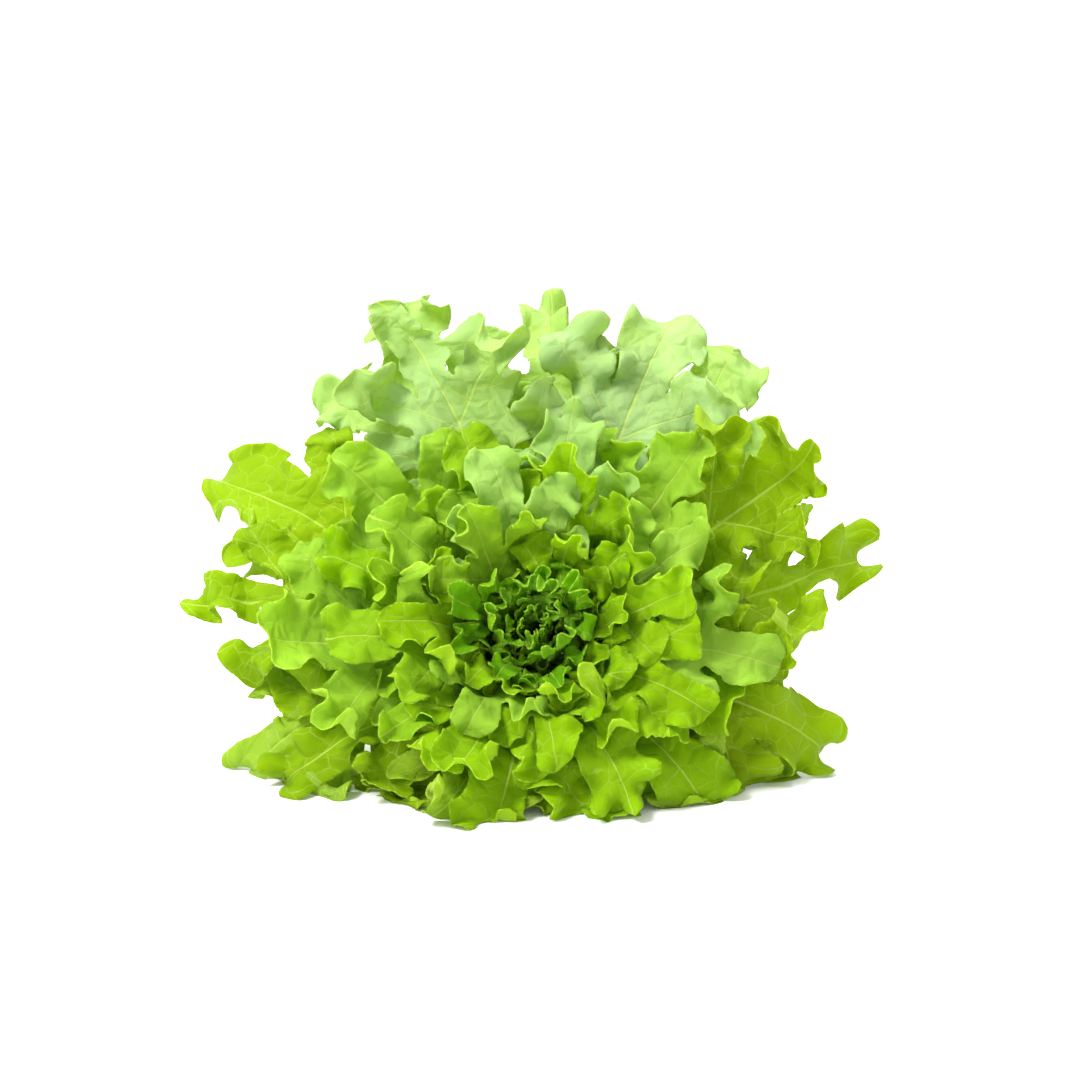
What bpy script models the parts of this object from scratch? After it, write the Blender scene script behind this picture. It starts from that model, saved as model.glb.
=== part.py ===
# Oak leaf lettuce: one cut head lying on its lower leaves and the rim of its cut stem.
# Metres, +Z up. The heart looks towards -Y and upwards; the cut stem is at the back.
import math

import bmesh
import bpy
import numpy as np
from mathutils import Matrix, Vector
from mathutils.bvhtree import BVHTree
from mathutils.geometry import delaunay_2d_cdt

MM = 0.001
NAME = "oak_leaf_lettuce"

# Head and stem
HEAD_TILT = math.radians(35.0)
STEM_TOP_RADIUS = 9.0 * MM
STEM_CUT_RADIUS = 15.0 * MM
STEM_LEAFY_LENGTH = 42.0 * MM
STEM_STUMP_LENGTH = 8.0 * MM
STEM_SIDES = 32
HEART_RISE = 26.0 * MM
TIP_RADIUS = 2.5 * MM
HEART_WIDENING = 8.0 * MM
STEM_WIDENING = STEM_CUT_RADIUS - STEM_TOP_RADIUS
CONTACT_GAP = 0.3 * MM

# A leaf's place in the head is its layer, from 0 at the growing tip to 1 at the outermost leaf
HEART_LAYER = 0.25
KNEE_LENGTH = 26.0 * MM
REACH_LENGTH = 110.0 * MM
SEPARATE_LEAVES = 46
HEART_LEAVES = 19
GOLDEN_ANGLE = math.radians(137.508)

# Angles of a leaf from the head's axis, in degrees: at the growing tip, at the heart's edge below
# and above the axis, and at the outermost leaf below and above it
ROOT_ANGLES = (12, 26, 42, 26, 60)
KNEE_ANGLES = (0, 4, 8, 10, 63)
TIP_ANGLES = (25, 95, 65, 107, 90)

# Blades: thickness, room between neighbours, and the curls of the lobes
BLADE_THICK = 0.8 * MM
FOOT_THICK = 2.0 * MM
LARGE_LEAF = 150.0 * MM
GRID_STEP = 11.5 * MM
BLADE_CLEAR = 1.7 * MM
FOOT_CLEAR = 3.3 * MM
HEART_BLADE_CLEAR = 1.65 * MM
CLEARING_ROUNDS = 22
CLEARING_PUSH = 0.9 * MM
CLEARING_REACH = 9.0 * MM
UNCURLING_REACH = 18.0 * MM
CLEARING_EASE = 0.12
UNCURLING = 0.20
NOTCH_CLEAR = 0.05
OUTER_NOTCHES = (0.65, 1.30)
INNER_NOTCHES = (0.40, 1.15)
LOBE_ANGLES = (-78, -26, 26, 78)
HEART_LOBE_ANGLES = (-60, 0, 60)
FOOT_OUTLINE = ((1.0, 0.0), (0.9, 0.11), (1.25, 0.20))
BLADE_START = 0.23
LOBE_CURL_SPREAD = 0.95
LOBE_CURL_ALTERNATE = 0.45
LOBE_CURL_LIMIT = 1.7
LOBE_LIFT_SPREAD = 0.25
LOBE_CUP_SPREAD = 0.20
LOBE_CUP_SHARE = 0.30
BLADE_FOLD = 0.28
LONG_WAVE = 0.035
EDGE_WAVE = 0.030

# Table contact
SOFT_FLOOR = 5.0 * MM
LOWEST_MIDDLE = 0.35 * MM
SEAT_DEPTH = 0.6 * MM

# The leaves that make the outline: angle from straight up (degrees, clockwise from the front),
# length (mm), width over length, and mean curl of the lobes (radians, positive towards the heart)
OUTER_LEAVES = (
    (-56, 168, 0.56, -0.3),
    (80, 160, 0.60, -0.2),
    (-147, 130, 0.56, 0.3),
    (3, 176, 0.56, 0.5),
    (121, 142, 0.60, -0.3),
    (-101, 152, 0.56, -0.3),
    (39, 172, 0.60, 0.2),
    (166, 124, 0.56, 0.1),
    (-27, 176, 0.56, 0.7),
    (105, 150, 0.56, -0.2),
    (-122, 140, 0.60, -0.3),
    (22, 174, 0.56, 0.0),
    (146, 130, 0.56, -0.2),
    (-78, 164, 0.50, -0.3),
    (60, 166, 0.50, 0.5),
    (-163, 122, 0.56, 0.4),
    (-10, 178, 0.48, 0.8),
)
MIDDLE_LEAVES = 18

AXIS = np.array([0.0, -math.cos(HEAD_TILT), math.sin(HEAD_TILT)])
UP = np.array([0.0, math.sin(HEAD_TILT), math.cos(HEAD_TILT)])
RIGHT = np.array([1.0, 0.0, 0.0])
STEM_LENGTH = STEM_LEAFY_LENGTH + STEM_STUMP_LENGTH
CROWN = np.array([0.0, 0.0, STEM_LENGTH * math.sin(HEAD_TILT) + STEM_CUT_RADIUS * math.cos(HEAD_TILT)])

LEAF_GREEN = (0.16, 0.40, 0.03, 1.0)
HEART_GREEN = (0.08, 0.28, 0.01, 1.0)
STEM_PALE = (0.62, 0.66, 0.38, 1.0)


def smoothstep(x):
    x = np.clip(x, 0.0, 1.0)
    return x * x * (3.0 - 2.0 * x)


def arc_chord(length, curvature):
    """How far an arc of this length reaches along its chord."""
    return length * np.sinc(0.5 * curvature * length / np.pi)


def leaf_angle(angles, heart, head, top):
    """Read one of the angle rows for layers from the growing tip out, below and above the axis."""
    centre, edge_below, edge_above, outer_below, outer_above = angles
    edge = edge_below + (edge_above - edge_below) * top
    outer = outer_below + (outer_above - outer_below) * top
    return np.radians(centre + (edge - centre) * heart + (outer - edge) * head)


def soft_floor(points):
    """Ease what would pass through the table to lie on it."""
    z = points[:, 2]
    span = SOFT_FLOOR - LOWEST_MIDDLE
    eased = LOWEST_MIDDLE + span * np.exp((z - SOFT_FLOOR) / span)
    points[:, 2] = np.where(z > SOFT_FLOOR, z, eased)
    return points


def layer_point(tau, s, phi):
    """Point of layer tau, s along the leaf from its root, phi round the head from straight up."""
    heart = np.clip(tau / HEART_LAYER, -0.2, 1.0)
    head = np.clip((tau - HEART_LAYER) / (1.0 - HEART_LAYER), 0.0, 1.8)
    top = 0.5 + 0.5 * np.cos(phi)
    root_radius = TIP_RADIUS + HEART_WIDENING * np.clip(heart, 0.0, 1.0) + STEM_WIDENING * head
    root_height = HEART_RISE * (1.0 - heart) - STEM_LEAFY_LENGTH * head
    root_angle = leaf_angle(ROOT_ANGLES, heart, head, top)
    knee_angle = leaf_angle(KNEE_ANGLES, heart, head, top)
    tip_angle = leaf_angle(TIP_ANGLES, heart, head, top)
    low = np.minimum(s, KNEE_LENGTH)
    high = np.maximum(s - KNEE_LENGTH, 0.0)
    low_bend = (knee_angle - root_angle) / KNEE_LENGTH
    high_bend = (tip_angle - knee_angle) / (REACH_LENGTH - KNEE_LENGTH)
    low_angle = root_angle + 0.5 * low_bend * low
    high_angle = knee_angle + 0.5 * high_bend * high
    low_chord = arc_chord(low, low_bend)
    high_chord = arc_chord(high, high_bend)
    radius = root_radius + low_chord * np.sin(low_angle) + high_chord * np.sin(high_angle)
    height = root_height + low_chord * np.cos(low_angle) + high_chord * np.cos(high_angle)
    point = CROWN + height[:, None] * AXIS
    point = point + (radius * np.cos(phi))[:, None] * UP + (radius * np.sin(phi))[:, None] * RIGHT
    return soft_floor(point), radius


class Leaf:
    """One leaf: its place in the head, its flat size and its own random draws."""

    def __init__(self, number, tau, phi, length, share, side_lobes, curl):
        rng = np.random.default_rng(1000 + number)
        self.number = number
        self.tau = tau
        self.phi = phi
        self.length = length
        self.width = length * share
        self.side_lobes = side_lobes
        self.curl = curl
        self.twist = rng.normal(0, 0.20)
        self.sweep = rng.normal(0, 0.10)
        outer = number <= len(OUTER_LEAVES)
        self.outward_room = 0.16 if outer else 0.10
        self.notch_depth = OUTER_NOTCHES if outer else INNER_NOTCHES
        self.foot = (3.5 if tau > HEART_LAYER else 1.8) * MM + 0.017 * length
        self.shape_rng = np.random.default_rng(50 + number)
        self.curl_rng = np.random.default_rng(900 + number)
        self.lobes = self.lobe_rows()

    def lobe_rows(self):
        """Centre, direction and radius of each lobe, from the right foot over the tip to the left."""
        rng = self.shape_rng
        pitch = 0.54 * self.length / max(self.side_lobes - 1, 1)
        sides = []
        for side in (1, -1):
            rows = []
            for j in range(self.side_lobes):
                f = j / max(self.side_lobes - 1, 1)
                y = (0.30 + 0.54 * f) * self.length + rng.uniform(-0.10, 0.10) * pitch
                reach = 0.5 * self.width * (1.0 - 1.3 * (f - 0.70) ** 2) * rng.uniform(0.88, 1.10)
                radius = 0.56 * min(pitch, 0.6 * self.width) * (0.75 + 0.25 * min(1, 1.6 * f))
                radius *= rng.uniform(0.88, 1.10)
                angle = math.radians(88 - 50 * f) + rng.normal(0, 0.10)
                x = side * (reach - radius * math.sin(angle))
                rows.append((x, y - radius * math.cos(angle), side * angle, radius))
            sides.append(rows)
        radius = 0.120 * self.length * rng.uniform(0.9, 1.15)
        tip = (rng.normal(0, 0.02) * self.length, self.length - radius, rng.normal(0, 0.15), radius)
        return np.array(sides[0] + [tip] + sides[1][::-1])

    def outline(self, angles):
        """Margin from the right of the foot to its left: points round each lobe, one in each sinus."""
        rng = self.shape_rng
        foot = [(self.foot * wide, self.length * up) for wide, up in FOOT_OUTLINE]
        last = len(self.lobes) - 1
        rows, notches = [], []
        for i, (x, y, direction, radius) in enumerate(self.lobes):
            turns = direction - np.radians(angles)
            reach = radius * rng.uniform(0.95, 1.05, len(angles))
            row = np.stack([x + reach * np.sin(turns), y + reach * np.cos(turns)], 1)
            rows.append(row[row[:, 1] > BLADE_START * self.length])
            if i < last:
                notches.append(self.sinus(i, rng.uniform(*self.notch_depth)))
        points = list(foot)
        for i, row in enumerate(rows):
            if i > 0:
                row = row[self.side_of_notch(i - 1, notches[i - 1], row) > 0]
            if i < last:
                row = row[self.side_of_notch(i, notches[i], row) < 0]
            points += row.tolist()
            points += notches[i:i + 1]
        points += [(-x, y) for x, y in foot[::-1]]
        return np.array(points)

    def outward(self, i):
        """Direction between those of lobes i and i + 1."""
        here, after = self.lobes[i], self.lobes[i + 1]
        total = np.array([math.sin(here[2]) + math.sin(after[2]), math.cos(here[2]) + math.cos(after[2])])
        return total / np.linalg.norm(total)

    def side_of_notch(self, i, notch, points):
        """Negative for points on the side of lobe i, positive on that of lobe i + 1."""
        ux, uy = self.outward(i)
        return ux * (points[:, 1] - notch[1]) - uy * (points[:, 0] - notch[0])

    def sinus(self, i, depth):
        """Bottom of the notch between lobes i and i + 1, clear of the midrib."""
        here, after = self.lobes[i], self.lobes[i + 1]
        middle = 0.5 * (here[:2] + after[:2])
        x, y = middle - self.outward(i) * depth * 0.5 * (here[3] + after[3])
        return math.copysign(max(abs(x), NOTCH_CLEAR * self.length), middle[0]), y


def inside(ring, points):
    """Which points lie inside a closed ring, by counting crossings."""
    x, y = points[:, 0], points[:, 1]
    result = np.zeros(len(points), bool)
    for (ax, ay), (bx, by) in zip(ring, np.roll(ring, -1, axis=0)):
        if ay != by:
            between = (by > y) != (ay > y)
            result ^= between & (x < (ax - bx) * (y - by) / (ay - by) + bx)
    return result


def flat_blade(leaf, angles, step):
    """Triangles over the leaf's flat outline, the same for both faces."""
    edge = leaf.outline(angles)
    root_line = np.linspace(edge[-1], edge[0], 4)[1:-1]
    ring = np.concatenate([edge, root_line])
    low, high = ring.min(0), ring.max(0)
    columns = np.concatenate([-np.arange(step, -low[0], step)[::-1], np.arange(0, high[0], step)])
    rows = np.arange(low[1] + 0.5 * step, high[1], 0.866 * step)
    x, y = np.meshgrid(columns, rows)
    x[1::2] += 0.5 * step
    grid = np.stack([x.ravel(), y.ravel()], 1)
    grid = grid[inside(ring, grid)]
    after = np.roll(ring, -1, axis=0)
    margin = np.concatenate([ring + (after - ring) * share for share in (0.0, 0.25, 0.5, 0.75)])
    spacing = np.linalg.norm(grid[:, None] - margin[None], axis=2).min(1)
    grid = grid[spacing > 0.62 * step]
    points = [Vector(p) for p in np.concatenate([ring, grid]) / MM]
    verts, _, faces, *_ = delaunay_2d_cdt(points, [], [list(range(len(ring)))], 1, 1e-6)
    return np.array([v[:] for v in verts]) * MM, np.array([list(f) for f in faces])


def curled_blade(leaf, flat):
    """The flat blade with its lobes curled: across, along, and height above its layer."""
    rng = leaf.curl_rng
    x, y = flat[:, 0], flat[:, 1]
    count = len(leaf.lobes)
    turn = leaf.curl + LOBE_CURL_SPREAD * rng.normal(0, 1, count)
    turn = turn + LOBE_CURL_ALTERNATE * np.where(np.arange(count) % 2, 1, -1)
    turn = LOBE_CURL_LIMIT * np.tanh(turn / LOBE_CURL_LIMIT)
    lift = rng.normal(0, LOBE_LIFT_SPREAD, count)
    phase = rng.uniform(0, 2 * np.pi, 2)
    cup = LOBE_CUP_SHARE * turn + rng.normal(0, LOBE_CUP_SPREAD, count)
    weight = np.full(len(x), 1e-9)
    move = np.zeros((len(x), 3))
    for (cx, cy, direction, radius), lobe_turn, lobe_lift, lobe_cup in zip(leaf.lobes, turn, lift, cup):
        ux, uy = math.sin(direction), math.cos(direction)
        out = (x - cx) * ux + (y - cy) * uy
        side = (x - cx) * uy - (y - cy) * ux
        beyond = np.maximum(out - 0.6 * radius, 0) + np.maximum(-out - 1.6 * radius, 0)
        w = np.exp(-(side ** 2 + beyond ** 2) / (0.75 * radius) ** 2)
        past_neck = np.maximum(out + 1.2 * radius, 0)
        past_neck = past_neck ** 2 / (past_neck + 0.35 * radius)
        bend = lobe_turn / (2.2 * radius)
        back = past_neck - past_neck * np.sinc(bend * past_neck / np.pi)
        rise = 0.5 * bend * past_neck ** 2 * np.sinc(0.5 * bend * past_neck / np.pi) ** 2
        hollow = lobe_cup * side ** 2 / radius * np.clip(past_neck / radius, 0, 1)
        move += w[:, None] * np.stack([-ux * back, -uy * back, rise + lobe_lift * past_neck + hollow], 1)
        weight += w
    move /= weight[:, None]
    blade = smoothstep((y / leaf.length - 0.16) / 0.22)
    across = x / (0.5 * leaf.width)
    height = move[:, 2]
    height = height + BLADE_FOLD * np.abs(x) * blade * np.exp(-(across / 0.8) ** 2)
    long_wave = across * np.sin(2.6 * np.pi * y / leaf.length + phase[0])
    edge_wave = across ** 2 * np.sin(3.4 * np.pi * y / leaf.length + phase[1])
    height = height + (LONG_WAVE * long_wave + EDGE_WAVE * edge_wave) * leaf.length * blade
    height = height + leaf.twist * x * blade
    across_out = x + move[:, 0] + leaf.sweep * y ** 2 / leaf.length
    along = np.clip(y + move[:, 1], 0, None)
    return across_out, along, height


class PackedHead:
    """The outermost layer reached so far, on a grid of length from the root by angle round the head."""

    STEP = 1.5 * MM
    ROWS = 126
    COLUMNS = 360
    SKIRT_ROW = 0.016
    SKIRT_COLUMN = 0.012
    SKIRT_ROUNDS = 7
    SAMPLES = 6

    def __init__(self):
        self.reached = np.full((self.ROWS, self.COLUMNS), -0.5)

    def skirted(self):
        """The grid with a slope round each leaf, so that the next one passes over its margin."""
        grid = self.reached
        for _ in range(self.SKIRT_ROUNDS):
            wider = grid.copy()
            wider[1:] = np.maximum(wider[1:], grid[:-1] - self.SKIRT_ROW)
            wider[:-1] = np.maximum(wider[:-1], grid[1:] - self.SKIRT_ROW)
            wider = np.maximum(wider, np.roll(grid, 1, 1) - self.SKIRT_COLUMN)
            grid = np.maximum(wider, np.roll(grid, -1, 1) - self.SKIRT_COLUMN)
        return grid

    def lowest_free(self, s, phi):
        """The layer that is free at each place, read between the grid's points."""
        grid = self.skirted()
        row = np.clip(s / self.STEP, 0, self.ROWS - 1.001)
        column = np.degrees(phi) % self.COLUMNS
        r0 = row.astype(int)
        c0 = column.astype(int) % self.COLUMNS
        c1 = (c0 + 1) % self.COLUMNS
        fr = row - r0
        fc = column - np.floor(column)
        near = grid[r0, c0] * (1 - fc) + grid[r0, c1] * fc
        far = grid[r0 + 1, c0] * (1 - fc) + grid[r0 + 1, c1] * fc
        return near * (1 - fr) + far * fr

    def add(self, s, phi, tau, faces):
        """Record a placed leaf, sampled across its triangles."""
        n = self.SAMPLES
        for a in range(n + 1):
            for b in range(n + 1 - a):
                share = np.array([a, b, n - a - b]) / n
                row = np.clip(np.rint(s[faces] @ share / self.STEP), 0, self.ROWS - 1).astype(int)
                column = np.rint(np.degrees(phi[faces] @ share)).astype(int) % self.COLUMNS
                np.maximum.at(self.reached, (row, column), tau[faces] @ share)


def place_leaf(leaf, curled, pushed, head):
    """Bend the curled blade round the head, outside every leaf that is already there."""
    across, along, height = curled
    tau = np.full(len(along), leaf.tau)
    _, radius = layer_point(tau, along, np.full(len(along), leaf.phi))
    phi = leaf.phi + across / np.maximum(radius, 5 * MM)
    step = 0.02
    before, _ = layer_point(tau - step, along, phi)
    after, _ = layer_point(tau + step, along, phi)
    spacing = np.maximum(np.linalg.norm(after - before, axis=1) / (2 * step), 25 * MM)
    outward = -height / spacing
    room = leaf.outward_room
    tau = tau + np.where(outward > 0, room * np.tanh(outward / room), outward)
    free = head.lowest_free(along, phi)
    if leaf.tau > HEART_LAYER:
        clear = BLADE_CLEAR + (FOOT_CLEAR - BLADE_CLEAR) * (1 - smoothstep(along / (30 * MM)))
        free = free + clear / spacing
    else:
        free = free + HEART_BLADE_CLEAR / spacing
        fused = 1 - smoothstep((along - 6 * MM) / (8 * MM))
        free = free * (1 - fused) + (leaf.tau - 0.1) * fused
    rounding = 1.2 * MM / spacing
    tau = 0.5 * (tau + free + np.sqrt((tau - free) ** 2 + rounding ** 2)) + pushed / spacing
    points, _ = layer_point(tau, along, phi)
    return points, phi, tau


def leaf_list():
    """Every leaf from the outermost in, turned by the golden angle where the photo doesn't place it."""
    leaves = []
    total = SEPARATE_LEAVES + HEART_LEAVES
    for k in range(total):
        rng = np.random.default_rng(2000 + k)
        if k < len(OUTER_LEAVES):
            degrees, length, share, curl = OUTER_LEAVES[k]
            phi = math.radians(degrees)
            length *= MM
        else:
            phi = math.radians(-10) + (k - len(OUTER_LEAVES) + 1) * GOLDEN_ANGLE
            share = rng.uniform(0.61, 0.76)
            curl = rng.normal(0.0, 0.35)
        if k < SEPARATE_LEAVES:
            outness = 1 - k / SEPARATE_LEAVES
            tau = HEART_LAYER + (1 - HEART_LAYER) * outness
            free_length = 70 * MM + 100 * MM * outness ** 0.9
        else:
            tau = HEART_LAYER * (1 - (k - SEPARATE_LEAVES + 1) / (HEART_LEAVES + 0.5))
            free_length = 24 * MM + 46 * MM * tau / HEART_LAYER
        if k >= len(OUTER_LEAVES):
            length = free_length * rng.uniform(0.88, 1.10) * (1 - 0.08 * (0.5 - 0.5 * math.cos(phi)))
        side_lobes = 4 if length > 75 * MM else 3 if length > 38 * MM else 2
        leaves.append(Leaf(k + 1, tau, phi, length, share, side_lobes, curl))
    return leaves


def leaf_name(number):
    """Plain name by ring and by place in the ring."""
    if number <= len(OUTER_LEAVES):
        return f"outer_leaf_{number:02d}"
    number -= len(OUTER_LEAVES)
    if number <= MIDDLE_LEAVES:
        return f"middle_leaf_{number:02d}"
    return f"inner_leaf_{number - MIDDLE_LEAVES:02d}"


def plain_material(name, color, roughness):
    material = bpy.data.materials.new(name)
    material.use_nodes = True
    shader = material.node_tree.nodes["Principled BSDF"]
    shader.inputs["Base Color"].default_value = color
    shader.inputs["Roughness"].default_value = roughness
    return material


def applied(obj):
    """Replace the object's mesh by its modified one."""
    depsgraph = bpy.context.evaluated_depsgraph_get()
    mesh = bpy.data.meshes.new_from_object(obj.evaluated_get(depsgraph))
    obj.modifiers.clear()
    obj.data = mesh
    return obj


def add_object(name, mesh, collection, material):
    obj = bpy.data.objects.new(name, mesh)
    collection.objects.link(obj)
    mesh.materials.append(material)
    return obj


def thickened(obj, flat, leaf):
    """Close the leaf's surface, thick at its foot and thin in its blade."""
    group = obj.vertex_groups.new(name="foot")
    taper = 1 - smoothstep(flat[:, 1] / (0.35 * leaf.length))
    for index, weight in enumerate(taper):
        group.add([index], float(weight), "REPLACE")
    solidify = obj.modifiers.new("thickness", "SOLIDIFY")
    solidify.thickness = FOOT_THICK
    solidify.offset = 0.0
    solidify.vertex_group = group.name
    solidify.thickness_vertex_group = BLADE_THICK / FOOT_THICK
    triangulate = obj.modifiers.new("triangles", "TRIANGULATE")
    triangulate.quad_method = "SHORTEST_DIAGONAL"
    return applied(obj)


def search_tree(obj):
    """The object's triangles, ready to be tested against another's."""
    mesh = obj.data
    return BVHTree.FromPolygons([v.co for v in mesh.vertices], [tuple(p.vertices) for p in mesh.polygons])


def crossing_points(obj, tree, others, count):
    """Points of the leaf's one-sided blade whose triangles cut another leaf."""
    found = set()
    for other in others:
        for own, _ in tree.overlap(other):
            found.update(index % count for index in obj.data.polygons[own].vertices)
    return sorted(found)


def folded_points(obj, tree, count):
    """Points of the leaf's one-sided blade where its own lobes cut each other."""
    found = set()
    corners = [set(polygon.vertices) for polygon in obj.data.polygons]
    for one, two in tree.overlap(tree):
        if not corners[one] & corners[two]:
            found.update(index % count for index in corners[one])
    return sorted(found)


def nearness(flat, chosen, reach):
    """One at the chosen points of the blade, falling to nothing away from them."""
    if not chosen:
        return np.zeros(len(flat))
    distance = np.linalg.norm(flat[:, None] - flat[chosen][None], axis=2).min(1)
    return np.exp(-(distance / reach) ** 2)


def leaf_solid(name, leaf, head, angles, collection, material, others):
    """A leaf as a closed solid, bent outwards wherever it would cut a leaf inside it."""
    step = GRID_STEP * (0.3 + 0.7 * leaf.length / LARGE_LEAF)
    flat, faces = flat_blade(leaf, angles, step)
    curled = np.array(curled_blade(leaf, flat))
    spread = np.array((flat[:, 0], flat[:, 1], np.zeros(len(flat))))
    pushed = np.zeros(len(flat))
    for attempt in range(CLEARING_ROUNDS):
        points, phi, tau = place_leaf(leaf, curled, pushed, head)
        mesh = bpy.data.meshes.new(name)
        mesh.from_pydata(points.tolist(), [], faces.tolist())
        obj = thickened(add_object(name, mesh, collection, material), flat, leaf)
        tree = search_tree(obj)
        cut = crossing_points(obj, tree, others, len(flat))
        folded = folded_points(obj, tree, len(flat)) if others else []
        if not cut + folded or attempt == CLEARING_ROUNDS - 1:
            break
        bpy.data.objects.remove(obj)
        near = nearness(flat, cut, CLEARING_REACH)
        pushed = pushed + CLEARING_PUSH * near
        curled[2] *= 1 - CLEARING_EASE * near
        curled += (spread - curled) * UNCURLING * nearness(flat, folded, UNCURLING_REACH)
    if cut + folded:
        print(name, "still cuts at", len(cut), "points and folds at", len(folded))
    head.add(curled[1], phi, tau, faces)
    others.append(tree)
    return obj


def head_matrix():
    """Frame of the head: X up from the axis, Z along the axis towards the heart, origin at the crown."""
    rotation = Matrix((UP, np.cross(AXIS, UP), AXIS)).transposed()
    return Matrix.Translation(CROWN) @ rotation.to_4x4()


def turned_solid(name, profile, collection, material):
    """A closed solid turned from (radius, height) points about the head's axis, top to bottom."""
    mesh = bpy.data.meshes.new(name)
    edges = [(i, i + 1) for i in range(len(profile) - 1)]
    mesh.from_pydata([(r, 0.0, z) for r, z in profile], edges, [])
    obj = add_object(name, mesh, collection, material)
    obj.matrix_world = head_matrix()
    screw = obj.modifiers.new("turn", "SCREW")
    screw.steps = STEM_SIDES
    screw.render_steps = STEM_SIDES
    screw.use_merge_vertices = True
    screw.merge_threshold = 0.01 * MM
    applied(obj)
    obj.data.transform(obj.matrix_world)
    obj.matrix_world = Matrix.Identity(4)
    return obj


def make_stem(collection, material):
    """The cut stem, with a small flat on the rim where it rests on the table."""
    top = -CONTACT_GAP
    profile = (
        (0.0, top),
        (STEM_TOP_RADIUS, top),
        (STEM_CUT_RADIUS, -STEM_LENGTH),
        (0.0, -STEM_LENGTH),
    )
    stem = turned_solid("stem", profile, collection, material)
    stem.data.transform(Matrix.Translation((0, 0, -SEAT_DEPTH)))
    shape = bmesh.new()
    shape.from_mesh(stem.data)
    geometry = shape.verts[:] + shape.edges[:] + shape.faces[:]
    bmesh.ops.bisect_plane(shape, geom=geometry, plane_co=(0, 0, 0), plane_no=(0, 0, -1), clear_outer=True)
    bmesh.ops.holes_fill(shape, edges=[e for e in shape.edges if e.is_boundary])
    bmesh.ops.triangulate(shape, faces=shape.faces[:])
    bmesh.ops.recalc_face_normals(shape, faces=shape.faces[:])
    shape.to_mesh(stem.data)
    shape.free()
    return stem


def make_heart(leaves, head, collection, material):
    """The growing tip with its small leaves, joined in one solid."""
    core = turned_solid("heart", heart_profile(), collection, material)
    small = bpy.data.collections.new("heart_leaves")
    bpy.context.scene.collection.children.link(small)
    for leaf in leaves:
        leaf_solid(f"heart_leaf_{leaf.number:02d}", leaf, head, HEART_LOBE_ANGLES, small, material, [])
    union = core.modifiers.new("join", "BOOLEAN")
    union.operation = "UNION"
    union.solver = "MANIFOLD"
    union.operand_type = "COLLECTION"
    union.collection = small
    triangulate = core.modifiers.new("triangles", "TRIANGULATE")
    triangulate.quad_method = "SHORTEST_DIAGONAL"
    applied(core)
    for obj in list(small.objects):
        bpy.data.objects.remove(obj)
    bpy.data.collections.remove(small)
    keep_largest_body(core)
    return core


def keep_largest_body(obj):
    """Drop the scraps and sealed hollows that joining crossed leaves can leave."""
    shape = bmesh.new()
    shape.from_mesh(obj.data)
    bodies = []
    unseen = set(shape.verts)
    while unseen:
        body = {unseen.pop()}
        edge_of_body = set(body)
        while edge_of_body:
            linked = {e.other_vert(v) for v in edge_of_body for e in v.link_edges}
            edge_of_body = linked - body
            body |= edge_of_body
        unseen -= body
        bodies.append(body)
    largest = max(bodies, key=len)
    bmesh.ops.delete(shape, geom=[v for v in shape.verts if v not in largest], context="VERTS")
    shape.to_mesh(obj.data)
    shape.free()


def heart_profile():
    """The growing tip's outline: a cone with a round top, just wider than where its leaves start."""
    foot_radius = STEM_TOP_RADIUS
    top_radius = 3.2 * MM
    profile = [(0.0, HEART_RISE + top_radius)]
    for step in range(1, 5):
        angle = 0.5 * math.pi * step / 4
        profile.append((top_radius * math.sin(angle), HEART_RISE + top_radius * math.cos(angle)))
    profile.append((foot_radius + 1.0 * MM, 2.5 * MM))
    profile.append((foot_radius, 0.0))
    profile.append((0.0, 0.0))
    return profile


def seat_on_table(obj):
    """Flatten what lies within the seat's depth of the table."""
    for vertex in obj.data.vertices:
        if vertex.co.z < SEAT_DEPTH:
            vertex.co.z = 0.0


def centre_on_origin(objects):
    """Put the origin under the middle of the head's box, on the table."""
    corners = np.array([v.co[:] for obj in objects for v in obj.data.vertices])
    middle = 0.5 * (corners.min(0) + corners.max(0))
    shift = Matrix.Translation((-middle[0], -middle[1], -corners[:, 2].min()))
    for obj in objects:
        obj.data.transform(shift)


def main():
    for obj in list(bpy.data.objects):
        bpy.data.objects.remove(obj)
    collection = bpy.data.collections.new(NAME)
    bpy.context.scene.collection.children.link(collection)
    leaf_green = plain_material("leaf_green", LEAF_GREEN, 0.45)
    heart_green = plain_material("heart_green", HEART_GREEN, 0.5)
    stem_pale = plain_material("stem_pale", STEM_PALE, 0.6)

    leaves = leaf_list()
    head = PackedHead()
    objects = [make_stem(collection, stem_pale)]
    objects.append(make_heart(leaves[:SEPARATE_LEAVES - 1:-1], head, collection, heart_green))
    placed = [search_tree(obj) for obj in objects]
    for leaf in leaves[SEPARATE_LEAVES - 1::-1]:
        name = leaf_name(leaf.number)
        obj = leaf_solid(name, leaf, head, LOBE_ANGLES, collection, leaf_green, placed)
        seat_on_table(obj)
        objects.append(obj)
    centre_on_origin(objects)


main()
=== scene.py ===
# Oak leaf lettuce: the finished look of the head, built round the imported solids.
import math

import bmesh
import bpy
import numpy as np
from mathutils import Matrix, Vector
from mathutils.geometry import delaunay_2d_cdt


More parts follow.
